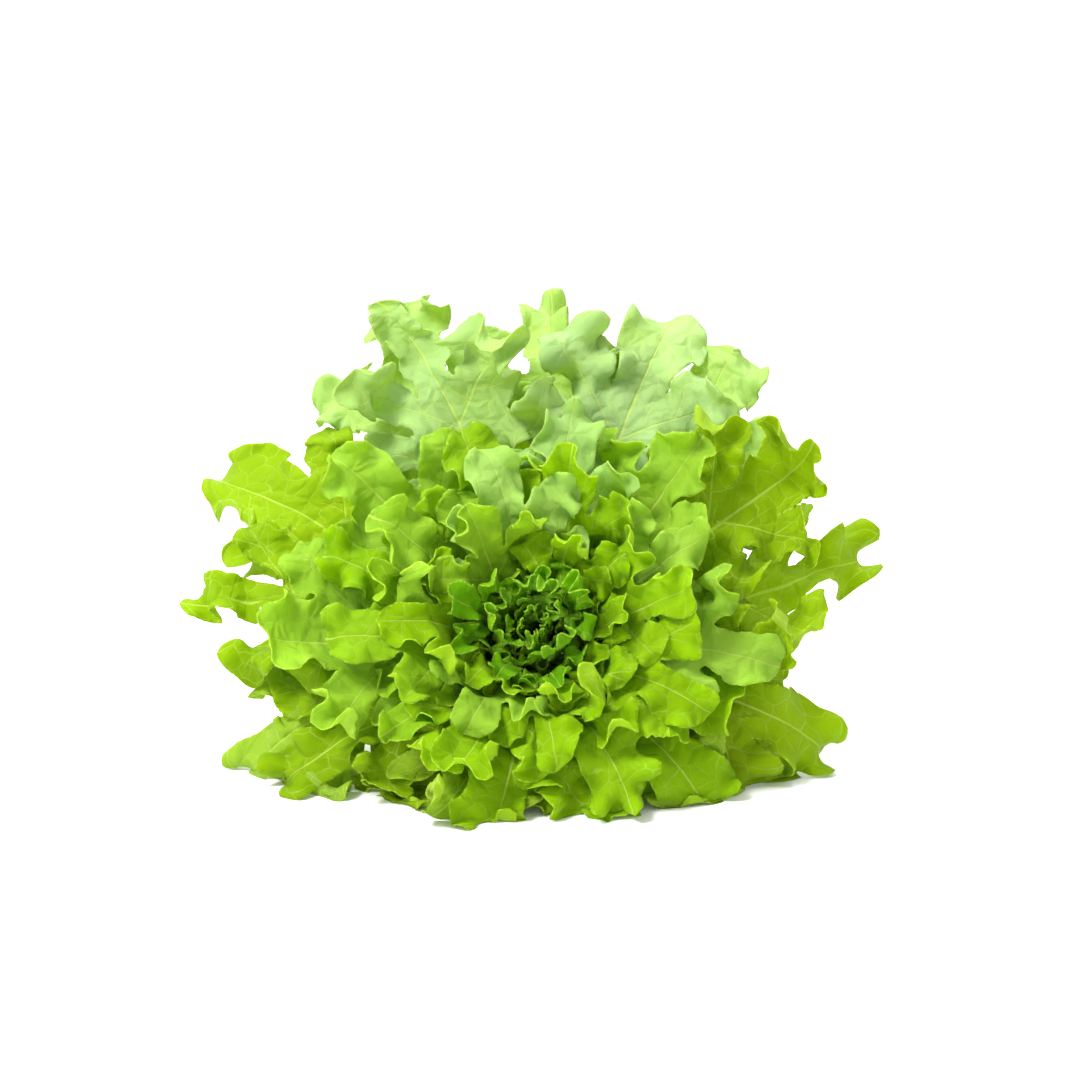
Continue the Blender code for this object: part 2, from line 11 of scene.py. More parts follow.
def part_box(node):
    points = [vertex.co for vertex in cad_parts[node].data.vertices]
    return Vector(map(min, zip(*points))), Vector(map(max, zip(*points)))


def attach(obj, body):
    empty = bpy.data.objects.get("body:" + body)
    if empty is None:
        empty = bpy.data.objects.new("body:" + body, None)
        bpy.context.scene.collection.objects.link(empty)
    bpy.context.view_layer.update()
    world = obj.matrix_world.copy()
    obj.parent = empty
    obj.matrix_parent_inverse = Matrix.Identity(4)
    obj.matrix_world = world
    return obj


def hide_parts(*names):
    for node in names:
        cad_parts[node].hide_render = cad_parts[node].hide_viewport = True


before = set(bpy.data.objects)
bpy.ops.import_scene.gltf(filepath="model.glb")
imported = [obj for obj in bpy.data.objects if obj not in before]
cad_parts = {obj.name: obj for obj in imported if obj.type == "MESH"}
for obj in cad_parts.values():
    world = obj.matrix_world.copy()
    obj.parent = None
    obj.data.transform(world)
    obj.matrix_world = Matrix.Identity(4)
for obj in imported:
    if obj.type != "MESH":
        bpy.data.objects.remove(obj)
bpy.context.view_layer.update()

MM = 0.001

# Head and stem, the same sizes as the solids
HEAD_TILT = math.radians(35.0)
STEM_TOP_RADIUS = 9.0 * MM
STEM_CUT_RADIUS = 15.0 * MM
STEM_LEAFY_LENGTH = 42.0 * MM
STEM_STUMP_LENGTH = 8.0 * MM
HEART_RISE = 26.0 * MM
TIP_RADIUS = 2.5 * MM
HEART_WIDENING = 8.0 * MM
STEM_WIDENING = STEM_CUT_RADIUS - STEM_TOP_RADIUS
STEM_LENGTH = STEM_LEAFY_LENGTH + STEM_STUMP_LENGTH

# Layers run from 0 at the growing tip over the heart's edge to 1 at the outermost leaf
HEART_LAYER = 0.25
KNEE_LENGTH = 26.0 * MM
REACH_LENGTH = 110.0 * MM
SEPARATE_LEAVES = 46
HEART_LEAVES = 19
GOLDEN_ANGLE = math.radians(137.508)

# Angles of a leaf from the head's axis, in degrees: at the growing tip, at the heart's edge below
# and above the axis, and at the outermost leaf below and above it
ROOT_ANGLES = (12, 26, 42, 26, 60)
KNEE_ANGLES = (0, 4, 8, 10, 63)
TIP_ANGLES = (25, 95, 65, 107, 90)

# Room between the blades, and how far a curled lobe may swing out, in layers
BLADE_CLEAR = 1.7 * MM
FOOT_CLEAR = 3.3 * MM
FOOT_ZONE = 30.0 * MM
HEART_BLADE_CLEAR = 1.65 * MM
FUSED_FROM = 6.0 * MM
FUSED_OVER = 8.0 * MM
PASSING_ROUND = 1.2 * MM
LEAST_RADIUS = 5.0 * MM
LEAST_SPACING = 25.0 * MM
OUTER_SWING = 0.16
INNER_SWING = 0.10

# Blades: foot, lobes, notches and curl
LARGE_LEAF = 150.0 * MM
LEAF_FOOT = 3.5 * MM
HEART_FOOT = 1.8 * MM
FOOT_GROWTH = 0.017
TWIST_SPREAD = 0.20
SWEEP_SPREAD = 0.10
LOBES_FROM = 0.30
LOBES_SPAN = 0.54
TIP_LOBE = 0.120
NOTCH_CLEAR = 0.05
OUTER_NOTCHES = (0.65, 1.30)
INNER_NOTCHES = (0.40, 1.15)
LOBE_ANGLES = (-78, -26, 26, 78)
HEART_LOBE_ANGLES = (-60, 0, 60)
FOOT_OUTLINE = ((1.0, 0.0), (0.9, 0.11), (1.25, 0.20))
BLADE_START = 0.23
LOBE_CURL_SPREAD = 0.95
LOBE_CURL_ALTERNATE = 0.45
LOBE_CURL_LIMIT = 1.7
LOBE_LIFT_SPREAD = 0.25
LOBE_CUP_SPREAD = 0.20
LOBE_CUP_SHARE = 0.30
BLADE_FOLD = 0.28
LONG_WAVE = 0.035
EDGE_WAVE = 0.030
SOFT_FLOOR = 5.0 * MM
LOWEST_MIDDLE = 0.35 * MM

# Outer leaves from the outermost in: angle round the head from straight up, length in millimetres,
# width as a share of the length, and curl
OUTER_LEAVES = (
    (-56, 168, 0.56, -0.3),
    (80, 160, 0.60, -0.2),
    (-147, 130, 0.56, 0.3),
    (3, 176, 0.56, 0.5),
    (121, 142, 0.60, -0.3),
    (-101, 152, 0.56, -0.3),
    (39, 172, 0.60, 0.2),
    (166, 124, 0.56, 0.1),
    (-27, 176, 0.56, 0.7),
    (105, 150, 0.56, -0.2),
    (-122, 140, 0.60, -0.3),
    (22, 174, 0.56, 0.0),
    (146, 130, 0.56, -0.2),
    (-78, 164, 0.50, -0.3),
    (60, 166, 0.50, 0.5),
    (-163, 122, 0.56, 0.4),
    (-10, 178, 0.48, 0.8),
)
MIDDLE_LEAVES = 18

# Lengths of the leaves that the rows above don't give, and where they have more lobes
INNERMOST_LENGTH = 70.0 * MM
LENGTH_GROWTH = 100.0 * MM
HEART_SHORTEST = 24.0 * MM
HEART_GROWTH = 46.0 * MM
FOUR_LOBES_FROM = 75.0 * MM
THREE_LOBES_FROM = 38.0 * MM

# Fine blades: distances between their points, gaps in those distances, veins, thickness and ruffles
HEART_STEP = 0.8 * MM
SMALL_STEP = 0.9 * MM
LARGE_STEP = 1.3 * MM
MARGIN_GAP = 0.62
VEIN_GAP = 0.60
FAR = 99.0
MAIN_VEIN = (0.55 * MM, 0.16 * MM)
BRANCH_VEIN = (0.28 * MM, 0.10 * MM)
VEIN_BRANCHES = ((0.30, -0.8), (0.42, 0.8), (0.60, -0.7), (0.72, 0.7), (0.88, -0.5))
BLADE_THICK = 0.4 * MM
ROOM_SHARE = 0.65
LEAST_ROOM = 0.2 * MM
FOOT_THICK = 2.0 * MM
MIDRIB_THICK = 3.2 * MM
VEIN_RELIEF = 0.35 * MM
FRILL_WAVE = 27.0 * MM
SHORTEST_FRILL = 7.0 * MM
FRILL_HEIGHT = 0.30
FRILL_SWAY = 0.095
CRINKLE_WAVE = 5.0 * MM
CRINKLE_HEIGHT = 0.13
TOOTH_WAVE = 3.4 * MM
TOOTH_HEIGHT = 0.30 * MM
PUCKER_HEIGHT = 0.5 * MM
PUCKER_ROUGHNESS = 0.35 * MM
PRESSED_FLAT = 1.2 * MM

# Upper face, lower face and light let through, for each kind of leaf
OUTER_COLORS = (0.23, 0.38, 0.002), (0.36, 0.54, 0.030), (0.60, 0.78, 0.003)
INNER_COLORS = (0.23, 0.42, 0.001), (0.37, 0.57, 0.020), (0.67, 0.90, 0.002)
HEART_COLORS = (0.13, 0.34, 0.001), (0.21, 0.42, 0.003), (0.47, 0.80, 0.002)
VEIN_COLOR = (0.68, 0.82, 0.16)
# Painted sheen: pale bluish leaf colours that stand in for the top light's reflection off the upper leaves
WEAK_PAINTED_SHEEN_COLOR = (0.46, 0.68, 0.16)
STRONG_PAINTED_SHEEN_COLOR = (0.46, 0.66, 0.32)
STEM_LIGHT_COLOR = (0.62, 0.68, 0.38)
STEM_DARK_COLOR = (0.45, 0.55, 0.22)
CUT_COLOR = (0.50, 0.38, 0.18)
SPECULAR_COLOR = (0.80, 1.0, 0.30)
SHEEN_COLOR = (0.75, 1.0, 0.45)
LIGHT_THROUGH = 0.45
VEIN_PALENESS = 0.55
VEIN_LIGHT_THROUGH = 0.50
# The pale margin line is partly the leaf's own pale edge and partly a painted rim highlight
MARGIN_PALENESS_AND_HIGHLIGHT = 0.45

# Net of fine veins: its shift from leaf to leaf, how far its cells wander, and their scales
PATTERN_SHIFT = 0.31
WANDER_SCALE = 90.0
WANDER_REACH = 0.009
NET_SCALE = 125.0
FINE_NET_SCALE = 360.0
FINE_NET_STRENGTH = 0.15

# Light and camera; a light has its place, size and power
FRONT_BRIGHTNESS = 0.94
BACK_BRIGHTNESS = 1.05
FLOOR_RADIUS = 1.0
FLOOR_WHITE = 0.93
BACK_LIGHT = (0.15, 0.55, 1.25), 0.9, 17.0
KEY_LIGHT = (-0.7, -0.5, 1.1), 0.4, 24.0
LIT_POINT = (0.0, 0.0, 0.1)
CAMERA_ELEVATION = math.radians(15.0)
CAMERA_DISTANCE = 1.10
CAMERA_TARGET = (0.001, 0.0, 0.089)
CAMERA_LENS = 85.0
CAMERA_SENSOR = 36.0

AXIS = np.array([0.0, -math.cos(HEAD_TILT), math.sin(HEAD_TILT)])
UP = np.array([0.0, math.sin(HEAD_TILT), math.cos(HEAD_TILT)])
RIGHT = np.array([1.0, 0.0, 0.0])
CROWN_HEIGHT = STEM_LENGTH * math.sin(HEAD_TILT) + STEM_CUT_RADIUS * math.cos(HEAD_TILT)
CROWN = np.array([0.0, 0.0, CROWN_HEIGHT])


def head_shift():
    """From the head's own place, with its crown over x = y = 0, to where the solids stand."""
    low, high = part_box("stem")
    back = STEM_LENGTH * math.cos(HEAD_TILT) + STEM_CUT_RADIUS * math.sin(HEAD_TILT)
    return np.array([0.5 * (low[0] + high[0]), high[1] - back, 0.0])


def smoothstep(x):
    x = np.clip(x, 0.0, 1.0)
    return x * x * (3.0 - 2.0 * x)


def unit(rows):
    return rows / np.maximum(np.linalg.norm(rows, axis=1), 1e-12)[:, None]


def arc_chord(length, curvature):
    """How far an arc of this length reaches along its chord."""
    return length * np.sinc(0.5 * curvature * length / np.pi)


def leaf_angle(angles, heart, head, top):
    """Read one of the angle rows for layers from the growing tip out, below and above the axis."""
    centre, edge_below, edge_above, outer_below, outer_above = angles
    edge = edge_below + (edge_above - edge_below) * top
    outer = outer_below + (outer_above - outer_below) * top
    return np.radians(centre + (edge - centre) * heart + (outer - edge) * head)


def soft_floor(points, top=SOFT_FLOOR, lowest=LOWEST_MIDDLE):
    """Ease what would pass through the table to lie on it."""
    z = points[:, 2]
    span = top - lowest
    points[:, 2] = np.where(z > top, z, lowest + span * np.exp((z - top) / span))
    return points


def layer_point(tau, s, phi):
    """Point of layer tau, s along the leaf from its root, phi round the head from straight up."""
    heart = np.clip(tau / HEART_LAYER, -0.2, 1.0)
    head = np.clip((tau - HEART_LAYER) / (1.0 - HEART_LAYER), 0.0, 1.8)
    top = 0.5 + 0.5 * np.cos(phi)
    root_radius = TIP_RADIUS + HEART_WIDENING * np.clip(heart, 0.0, 1.0) + STEM_WIDENING * head
    root_height = HEART_RISE * (1.0 - heart) - STEM_LEAFY_LENGTH * head
    root_angle = leaf_angle(ROOT_ANGLES, heart, head, top)
    knee_angle = leaf_angle(KNEE_ANGLES, heart, head, top)
    tip_angle = leaf_angle(TIP_ANGLES, heart, head, top)
    low = np.minimum(s, KNEE_LENGTH)
    high = np.maximum(s - KNEE_LENGTH, 0.0)
    low_bend = (knee_angle - root_angle) / KNEE_LENGTH
    high_bend = (tip_angle - knee_angle) / (REACH_LENGTH - KNEE_LENGTH)
    low_angle = root_angle + 0.5 * low_bend * low
    high_angle = knee_angle + 0.5 * high_bend * high
    low_chord = arc_chord(low, low_bend)
    high_chord = arc_chord(high, high_bend)
    radius = root_radius + low_chord * np.sin(low_angle) + high_chord * np.sin(high_angle)
    height = root_height + low_chord * np.cos(low_angle) + high_chord * np.cos(high_angle)
    point = CROWN + height[:, None] * AXIS
    point = point + (radius * np.cos(phi))[:, None] * UP + (radius * np.sin(phi))[:, None] * RIGHT
    return soft_floor(point), radius


class Leaf:
    """One leaf: its place in the head, its flat size and its own random draws."""

    def __init__(self, number, tau, phi, length, share, side_lobes, curl):
        rng = np.random.default_rng(1000 + number)
        self.number = number
        self.tau = tau
        self.phi = phi
        self.length = length
        self.width = length * share
        self.side_lobes = side_lobes
        self.curl = curl
        self.twist = rng.normal(0, TWIST_SPREAD)
        self.sweep = rng.normal(0, SWEEP_SPREAD)
        outer = number <= len(OUTER_LEAVES)
        self.swing = OUTER_SWING if outer else INNER_SWING
        self.notch_depth = OUTER_NOTCHES if outer else INNER_NOTCHES
        self.foot = (LEAF_FOOT if tau > HEART_LAYER else HEART_FOOT) + FOOT_GROWTH * length
        self.scale = 0.35 + 0.65 * length / LARGE_LEAF
        grown = min(length / LARGE_LEAF, 1.0)
        self.step = SMALL_STEP + (LARGE_STEP - SMALL_STEP) * grown
        self.frill_wave = max(FRILL_WAVE * min(length / LARGE_LEAF, 1.1) ** 0.85, SHORTEST_FRILL)
        self.frill_height = FRILL_HEIGHT * (2.0 - grown)
        self.crinkle_height = CRINKLE_HEIGHT * (2.2 - 1.2 * grown)
        self.shape_rng = np.random.default_rng(50 + number)
        self.curl_rng = np.random.default_rng(900 + number)
        self.frill_rng = np.random.default_rng(3000 + number)
        self.lobes = self.lobe_rows()

    def lobe_rows(self):
        """Centre, direction and radius of each lobe, from the right foot over the tip to the left."""
        rng = self.shape_rng
        pitch = LOBES_SPAN * self.length / max(self.side_lobes - 1, 1)
        sides = []
        for side in (1, -1):
            rows = []
            for j in range(self.side_lobes):
                f = j / max(self.side_lobes - 1, 1)
                y = (LOBES_FROM + LOBES_SPAN * f) * self.length + rng.uniform(-0.10, 0.10) * pitch
                reach = 0.5 * self.width * (1.0 - 1.3 * (f - 0.70) ** 2) * rng.uniform(0.88, 1.10)
                radius = 0.56 * min(pitch, 0.6 * self.width) * (0.75 + 0.25 * min(1, 1.6 * f))
                radius *= rng.uniform(0.88, 1.10)
                angle = math.radians(88 - 50 * f) + rng.normal(0, 0.10)
                x = side * (reach - radius * math.sin(angle))
                rows.append((x, y - radius * math.cos(angle), side * angle, radius))
            sides.append(rows)
        radius = TIP_LOBE * self.length * rng.uniform(0.9, 1.15)
        tip = (rng.normal(0, 0.02) * self.length, self.length - radius, rng.normal(0, 0.15), radius)
        return np.array(sides[0] + [tip] + sides[1][::-1])

    def outline(self, angles):
        """Margin from the right of the foot to its left: points round each lobe, one in each sinus."""
        rng = self.shape_rng
        foot = [(self.foot * wide, self.length * up) for wide, up in FOOT_OUTLINE]
        last = len(self.lobes) - 1
        rows, notches = [], []
        for i, (x, y, direction, radius) in enumerate(self.lobes):
            turns = direction - np.radians(angles)
            reach = radius * rng.uniform(0.95, 1.05, len(angles))
            row = np.stack([x + reach * np.sin(turns), y + reach * np.cos(turns)], 1)
            rows.append(row[row[:, 1] > BLADE_START * self.length])
            if i < last:
                notches.append(self.sinus(i, rng.uniform(*self.notch_depth)))
        points = list(foot)
        for i, row in enumerate(rows):
            if i > 0:
                row = row[self.side_of_notch(i - 1, notches[i - 1], row) > 0]
            if i < last:
                row = row[self.side_of_notch(i, notches[i], row) < 0]
            points += row.tolist()
            points += notches[i:i + 1]
        points += [(-x, y) for x, y in foot[::-1]]
        return np.array(points)

    def outward(self, i):
        """Direction between those of lobes i and i + 1."""
        here, after = self.lobes[i], self.lobes[i + 1]
        total = np.array([math.sin(here[2]) + math.sin(after[2]), math.cos(here[2]) + math.cos(after[2])])
        return total / np.linalg.norm(total)

    def side_of_notch(self, i, notch, points):
        """Negative for points on the side of lobe i, positive on that of lobe i + 1."""
        ux, uy = self.outward(i)
        return ux * (points[:, 1] - notch[1]) - uy * (points[:, 0] - notch[0])

    def sinus(self, i, depth):
        """Bottom of the notch between lobes i and i + 1, clear of the midrib."""
        here, after = self.lobes[i], self.lobes[i + 1]
        middle = 0.5 * (here[:2] + after[:2])
        x, y = middle - self.outward(i) * depth * 0.5 * (here[3] + after[3])
        return math.copysign(max(abs(x), NOTCH_CLEAR * self.length), middle[0]), y

    def veins(self, spacing):
        """Side veins in the leaf's plane, one to each lobe's tip with branches that fan out in it."""
        rng = np.random.default_rng(7000 + self.number)
        rows = []
        for x, y, direction, radius in self.lobes:
            if abs(x) < 0.04 * self.length:
                continue
            start = np.array([0.0, max(y - 0.95 * abs(x), 0.10 * self.length)])
            end = np.array([x + 0.80 * radius * math.sin(direction), y + 0.80 * radius * math.cos(direction)])
            middle = np.array([0.42 * x, start[1] + 0.30 * (end[1] - start[1])])
            main = bezier(start, middle, end, spacing)
            rows.append(vein_row(main, self.scale, MAIN_VEIN))
            for share, turn in VEIN_BRANCHES:
                root = main[int(share * (len(main) - 1))]
                angle = direction + turn + rng.normal(0, 0.15)
                reach = radius * (1.2 - 0.4 * share) * rng.uniform(0.7, 1.0)
                tip = root + reach * np.array([math.sin(angle), math.cos(angle)])
                bow = 0.5 * (root + tip) + rng.normal(0, 0.06, 2) * reach
                rows.append(vein_row(bezier(root, bow, tip, spacing), self.scale, BRANCH_VEIN))
        return np.concatenate(rows)


def vein_row(points, scale, half_widths):
    """Points of one vein, each with its direction, its half width and whether the vein ends there."""
    along = unit(np.gradient(points, axis=0))
    width = np.linspace(half_widths[0] * scale, half_widths[1], len(points))
    last = np.arange(len(points)) == len(points) - 1
    return np.column_stack([points, along, width, last])


def bezier(start, middle, end, spacing):
    count = max(int(np.linalg.norm(end - start) / spacing), 2)
    u = np.linspace(0, 1, count + 1)[:, None]
    return (1 - u) ** 2 * start + 2 * u * (1 - u) * middle + u ** 2 * end


def spline(points, per):
    """Catmull-Rom curve through an open row of points."""
    padded = np.concatenate([2 * points[:1] - points[1:2], points, 2 * points[-1:] - points[-2:-1]])
    u = np.linspace(0, 1, per, endpoint=False)[None, :, None]
    a, b, c, d = (padded[i:len(padded) - 3 + i, None, :] for i in range(4))
    cubic = 2 * b + (c - a) * u + (2 * a - 5 * b + 4 * c - d) * u ** 2 + (3 * b - a - 3 * c + d) * u ** 3
    return np.concatenate([0.5 * cubic.reshape(-1, 2), points[-1:]])


def uneven_wave(run, wave, phase, swing, slow_wave, slow_phase):
    """Angle of a wave along the margin that another wave hurries and holds back."""
    return 2 * np.pi * run / wave + phase + swing * np.sin(run / slow_wave + slow_phase)


def fine_margin(leaf, angles, spacing):
    """The margin as a smooth curve with small teeth, and its length so far at each point."""
    curve = spline(leaf.outline(angles), 12)
    gone = np.concatenate([[0], np.cumsum(np.linalg.norm(np.diff(curve, axis=0), axis=1))])
    run = np.linspace(0, gone[-1], int(gone[-1] / spacing))
    margin = np.stack([np.interp(run, gone, curve[:, 0]), np.interp(run, gone, curve[:, 1])], 1)
    along = unit(np.gradient(margin, axis=0))
    outward = np.stack([along[:, 1], -along[:, 0]], 1)
    phase = leaf.frill_rng.uniform(0, 2 * np.pi, 3)
    wave = TOOTH_WAVE * leaf.scale
    small = uneven_wave(run, 2.0 * wave, phase[0], 1.1, 1.9 * wave, phase[1])
    large = uneven_wave(run, 5.2 * wave, phase[1], 0.9, 4.3 * wave, phase[0])
    tooth = np.abs(np.sin(small)) - 0.6
    tooth = tooth + 2.6 * (np.abs(np.sin(large)) - 0.6)
    size = TOOTH_HEIGHT * leaf.scale * (0.75 + 0.5 * np.sin(run / (3.1 * wave) + phase[2]))
    blade = smoothstep((margin[:, 1] / leaf.length - 0.18) / 0.15)
    return margin + outward * (tooth * size * blade)[:, None], run


def inside(ring, points):
    """Which points lie inside a closed ring, by counting crossings."""
    x, y = points[:, 0], points[:, 1]
    result = np.zeros(len(points), bool)
    for (ax, ay), (bx, by) in zip(ring, np.roll(ring, -1, axis=0)):
        if ay != by:
            between = (by > y) != (ay > y)
            result ^= between & (x < (ax - bx) * (y - by) / (ay - by) + bx)
    return result


def squared_distances(points, others):
    points = points.astype(np.float32)
    others = others.astype(np.float32)
    result = (points[:, None, 0] - others[None, :, 0]) ** 2
    result += (points[:, None, 1] - others[None, :, 1]) ** 2
    return result


def fine_blade(leaf, angles, spacing):
    """Triangles over the leaf's outline, with points along its margin and veins."""
    margin, run = fine_margin(leaf, angles, spacing)
    root_line = np.linspace(margin[-1], margin[0], 9)[1:-1]
    ring = np.concatenate([margin, root_line])
    low, high = ring.min(0), ring.max(0)
    columns = np.concatenate([-np.arange(spacing, -low[0], spacing)[::-1], np.arange(0, high[0], spacing)])
    rows = np.arange(low[1] + 0.5 * spacing, high[1], 0.866 * spacing)
    x, y = np.meshgrid(columns, rows)
    x[1::2] += 0.5 * spacing
    grid = np.stack([x.ravel(), y.ravel()], 1)
    vein_rows = leaf.veins(spacing)
    veins = vein_rows[inside(ring, vein_rows), :2]
    veins = veins[squared_distances(veins, ring).min(1) > (VEIN_GAP * spacing) ** 2]
    grid = grid[inside(ring, grid)]
    keep = squared_distances(grid, ring).min(1) > (MARGIN_GAP * spacing) ** 2
    keep &= squared_distances(grid, veins).min(1) > (VEIN_GAP * spacing) ** 2
    points = np.concatenate([ring, veins, grid[keep]])
    given = [Vector(p) for p in points / MM]
    verts, _, faces, *_ = delaunay_2d_cdt(given, [], [list(range(len(ring)))], 1, 1e-4)
    flat = np.array([v[:] for v in verts]) * MM
    return flat, np.array([list(f) for f in faces]), margin, run, vein_rows


def curled_blade(leaf, flat):
    """The flat blade with its lobes curled: across, along, and height above its layer."""
    rng = leaf.curl_rng
    x, y = flat[:, 0], flat[:, 1]
    count = len(leaf.lobes)
    turn = leaf.curl + LOBE_CURL_SPREAD * rng.normal(0, 1, count)
    turn = turn + LOBE_CURL_ALTERNATE * np.where(np.arange(count) % 2, 1, -1)
    turn = LOBE_CURL_LIMIT * np.tanh(turn / LOBE_CURL_LIMIT)
    lift = rng.normal(0, LOBE_LIFT_SPREAD, count)
    phase = rng.uniform(0, 2 * np.pi, 2)
    cup = LOBE_CUP_SHARE * turn + rng.normal(0, LOBE_CUP_SPREAD, count)
    weight = np.full(len(x), 1e-9)
    move = np.zeros((len(x), 3))
    for (cx, cy, direction, radius), lobe_turn, lobe_lift, lobe_cup in zip(leaf.lobes, turn, lift, cup):
        ux, uy = math.sin(direction), math.cos(direction)
        out = (x - cx) * ux + (y - cy) * uy
        side = (x - cx) * uy - (y - cy) * ux
        beyond = np.maximum(out - 0.6 * radius, 0) + np.maximum(-out - 1.6 * radius, 0)
        w = np.exp(-(side ** 2 + beyond ** 2) / (0.75 * radius) ** 2)
        past_neck = np.maximum(out + 1.2 * radius, 0)
        past_neck = past_neck ** 2 / (past_neck + 0.35 * radius)
        bend = lobe_turn / (2.2 * radius)
        back = past_neck - past_neck * np.sinc(bend * past_neck / np.pi)
        rise = 0.5 * bend * past_neck ** 2 * np.sinc(0.5 * bend * past_neck / np.pi) ** 2
        hollow = lobe_cup * side ** 2 / radius * np.clip(past_neck / radius, 0, 1)
        move += w[:, None] * np.stack([-ux * back, -uy * back, rise + lobe_lift * past_neck + hollow], 1)
        weight += w
    move /= weight[:, None]
    blade = smoothstep((y / leaf.length - 0.16) / 0.22)
    across = x / (0.5 * leaf.width)
    height = move[:, 2]
    height = height + BLADE_FOLD * np.abs(x) * blade * np.exp(-(across / 0.8) ** 2)
    long_wave = across * np.sin(2.6 * np.pi * y / leaf.length + phase[0])
    edge_wave = across ** 2 * np.sin(3.4 * np.pi * y / leaf.length + phase[1])
    height = height + (LONG_WAVE * long_wave + EDGE_WAVE * edge_wave) * leaf.length * blade
    height = height + leaf.twist * x * blade
    across_out = x + move[:, 0] + leaf.sweep * y ** 2 / leaf.length
    along = np.clip(y + move[:, 1], 0, None)
    return across_out, along, height


class PackedHead:
    """The layers that the leaves fill, on grids of length from the root by angle round the head.

    One grid holds the outermost layer reached so far, and each leaf has a grid of its own.
    """

    STEP = 1.5 * MM
    ROWS = 126
    COLUMNS = 360
    SKIRT_ROW = 0.016
    SKIRT_COLUMN = 0.012
    SKIRT_ROUNDS = 7
    SAMPLES = 5
    EMPTY = -9.0
    INNERMOST = -0.5

    def __init__(self):
        self.reached = np.full((self.ROWS, self.COLUMNS), self.INNERMOST)
        self.layers = [np.full((self.ROWS, self.COLUMNS), self.EMPTY)]

    def skirted(self, grid):
        """A grid with a slope round each leaf, so that the next one passes over its margin."""
        for _ in range(self.SKIRT_ROUNDS):
            wider = grid.copy()
            wider[1:] = np.maximum(wider[1:], grid[:-1] - self.SKIRT_ROW)
            wider[:-1] = np.maximum(wider[:-1], grid[1:] - self.SKIRT_ROW)
            wider = np.maximum(wider, np.roll(grid, 1, 1) - self.SKIRT_COLUMN)
            grid = np.maximum(wider, np.roll(grid, -1, 1) - self.SKIRT_COLUMN)
        return grid

    def lowest_free(self, s, phi):
        """The layer that is free at each place."""
        return self.read(self.skirted(self.reached), s, phi)

    def rooms(self, number, s, phi, tau):
        """How many layers a placed leaf is from its neighbours inside and outside it."""
        inner = np.max(self.layers[:number], axis=0)
        outside = self.layers[:1] + self.layers[number + 1:]
        outer = np.max([np.where(own > self.EMPTY, -own, own) for own in outside], axis=0)
        return tau - self.read(self.skirted(inner), s, phi), -self.read(self.skirted(outer), s, phi) - tau

    def read(self, grid, s, phi):
        """A grid's values between its points."""
        row = np.clip(s / self.STEP, 0, self.ROWS - 1.001)
        column = np.degrees(phi) % self.COLUMNS
        r0 = row.astype(int)
        c0 = column.astype(int) % self.COLUMNS
        c1 = (c0 + 1) % self.COLUMNS
        fr = row - r0
        fc = column - np.floor(column)
        near = grid[r0, c0] * (1 - fc) + grid[r0, c1] * fc
        far = grid[r0 + 1, c0] * (1 - fc) + grid[r0 + 1, c1] * fc
        return near * (1 - fr) + far * fr

    def add(self, s, phi, tau, faces):
        """Record a placed leaf, sampled across its triangles."""
        own = np.full_like(self.reached, self.EMPTY)
        n = self.SAMPLES
        for a in range(n + 1):
            for b in range(n + 1 - a):
                share = np.array([a, b, n - a - b]) / n
                row = np.clip(np.rint(s[faces] @ share / self.STEP), 0, self.ROWS - 1).astype(int)
                column = np.rint(np.degrees(phi[faces] @ share)).astype(int) % self.COLUMNS
                np.maximum.at(own, (row, column), tau[faces] @ share)
        self.reached = np.maximum(self.reached, own)
        self.layers.append(own)


def place_leaf(leaf, curled, head):
    """Bend the curled blade round the head, outside every leaf that is already there."""
    across, along, height = curled
    tau = np.full(len(along), leaf.tau)
    _, radius = layer_point(tau, along, np.full(len(along), leaf.phi))
    phi = leaf.phi + across / np.maximum(radius, LEAST_RADIUS)
    step = 0.02
    before, _ = layer_point(tau - step, along, phi)
    after, _ = layer_point(tau + step, along, phi)
    spacing = np.maximum(np.linalg.norm(after - before, axis=1) / (2 * step), LEAST_SPACING)
    outward = -height / spacing
    tau = tau + np.where(outward > 0, leaf.swing * np.tanh(outward / leaf.swing), outward)
    free = head.lowest_free(along, phi)
    if leaf.tau > HEART_LAYER:
        clear = BLADE_CLEAR + (FOOT_CLEAR - BLADE_CLEAR) * (1 - smoothstep(along / FOOT_ZONE))
        free = free + clear / spacing
    else:
        free = free + HEART_BLADE_CLEAR / spacing
        fused = 1 - smoothstep((along - FUSED_FROM) / FUSED_OVER)
        free = free * (1 - fused) + (leaf.tau - 0.1) * fused
    rounding = PASSING_ROUND / spacing
    tau = 0.5 * (tau + free + np.sqrt((tau - free) ** 2 + rounding ** 2))
    points, _ = layer_point(tau, along, phi)
    return points, phi, tau, spacing


def point_normals(points, faces):
    corners = points[faces]
    normal = np.cross(corners[:, 1] - corners[:, 0], corners[:, 2] - corners[:, 0])
    total = np.zeros_like(points)
    for i in range(3):
        np.add.at(total, faces[:, i], normal)
    return unit(total)


